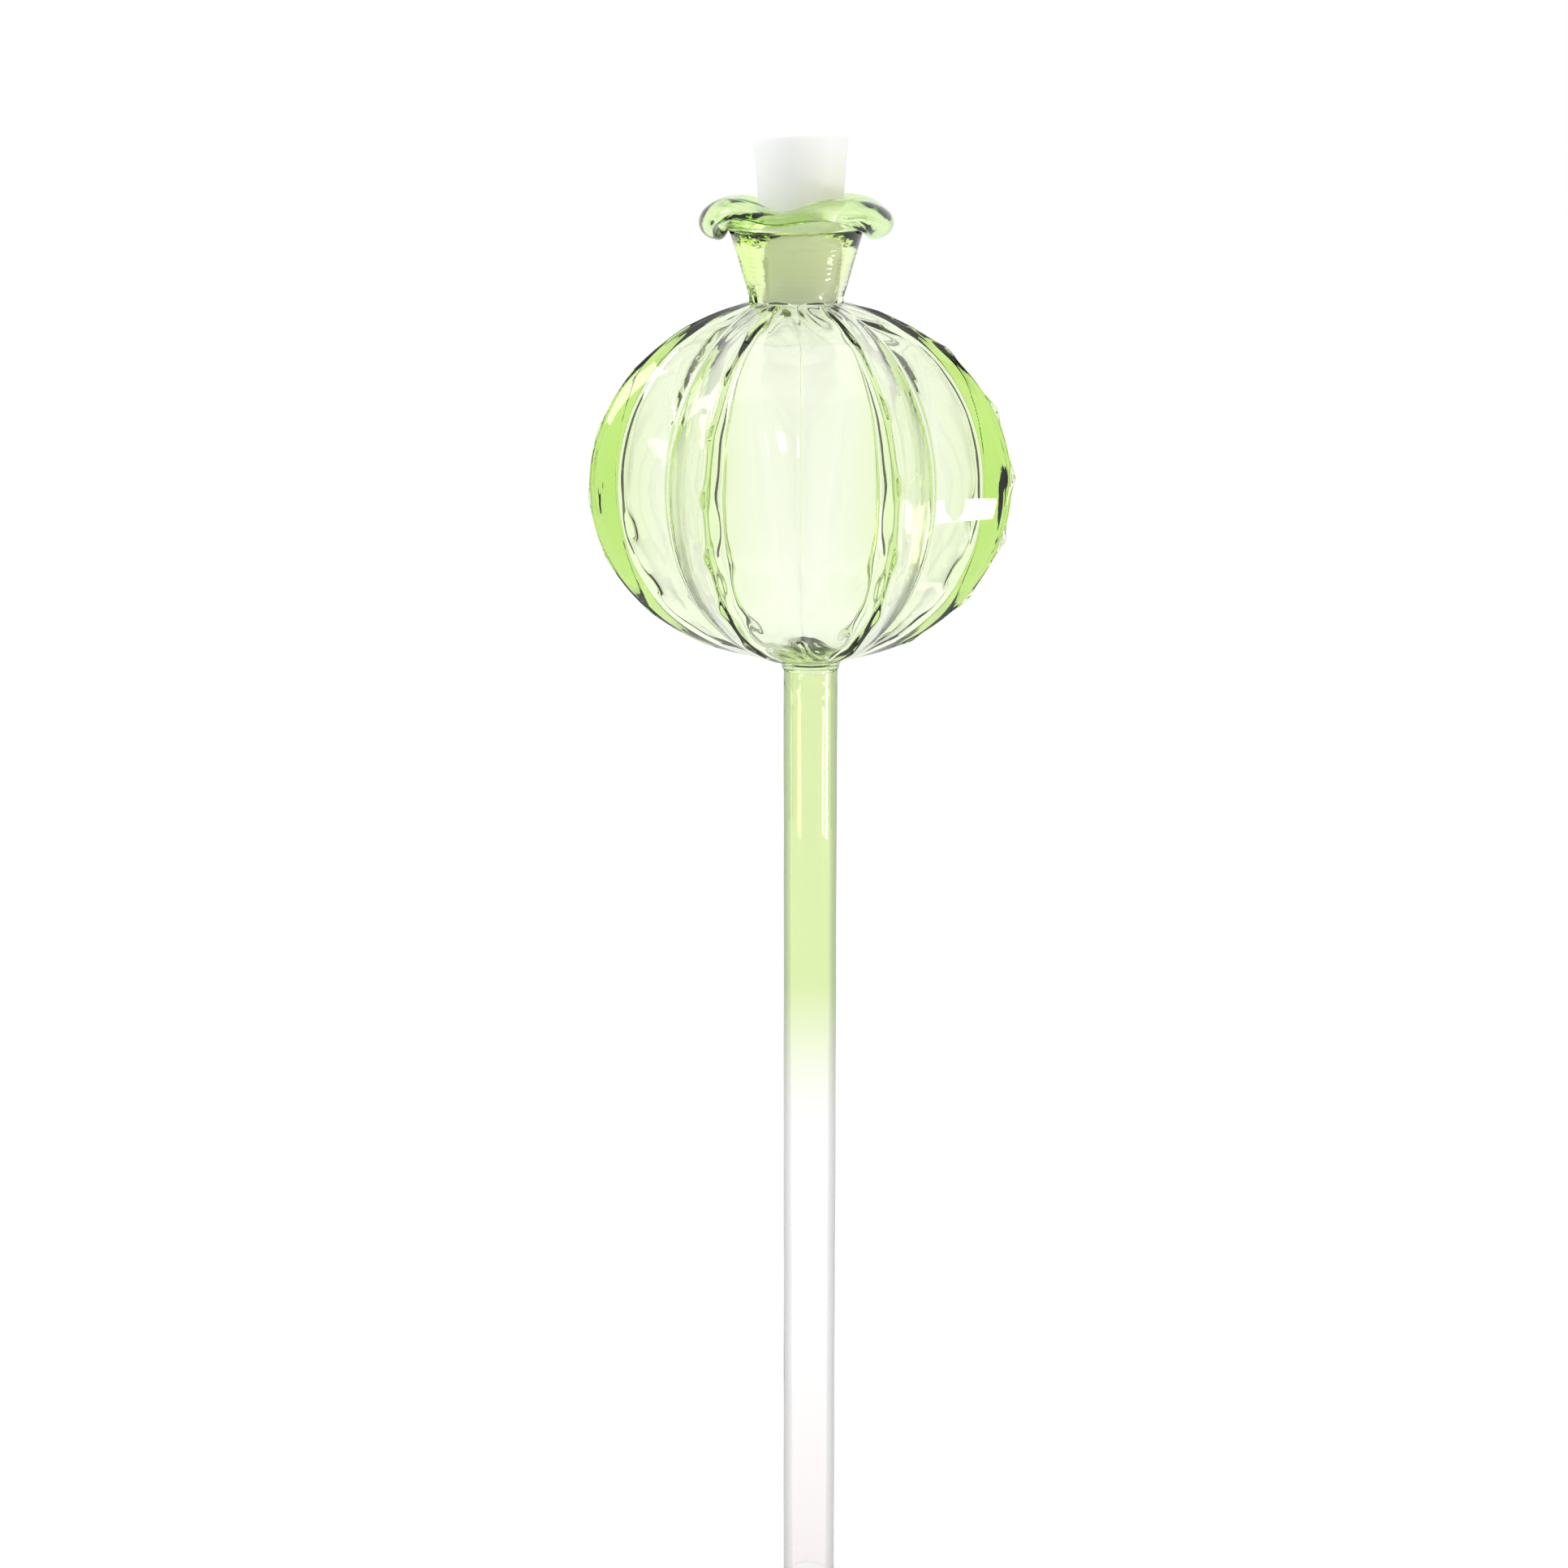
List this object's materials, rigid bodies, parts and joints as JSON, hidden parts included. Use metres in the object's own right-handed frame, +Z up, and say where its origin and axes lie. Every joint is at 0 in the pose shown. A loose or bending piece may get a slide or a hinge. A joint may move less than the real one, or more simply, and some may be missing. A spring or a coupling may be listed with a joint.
{
  "type": "watering globe",
  "caption": "Ribbed hollow glass bulb on a long open tube, with a ruffled neck closed by a tapered lift-out stopper, for slow plant watering.",
  "frame": {"origin": "centre of the stem's open tip, on the stem's axis", "axes": "+Z up along the stem's axis towards the stopper, -Y the front seen in the picture, +X to its right"},
  "size_m": [0.0702, 0.069, 0.2501],
  "materials": {
    "green_glass": "clear green blown glass",
    "stem_glass": "clear glass tube, its upper half tinted green",
    "white_silicone": "translucent white silicone, satin"
  },
  "bodies": {
    "vessel": {"stem_tube": "stem_glass", "weld_collar": "green_glass", "ribbed_globe": "green_glass", "neck_funnel": "green_glass", "ruffled_lip": "green_glass"},
    "stopper": {"stopper": "white_silicone"}
  },
  "joints": [
    {"name": "stopper_pull", "type": "slide", "parent": "vessel", "child": "stopper", "axis": [0, 0, 1], "range_m": [0, 0.04]}
  ]
}
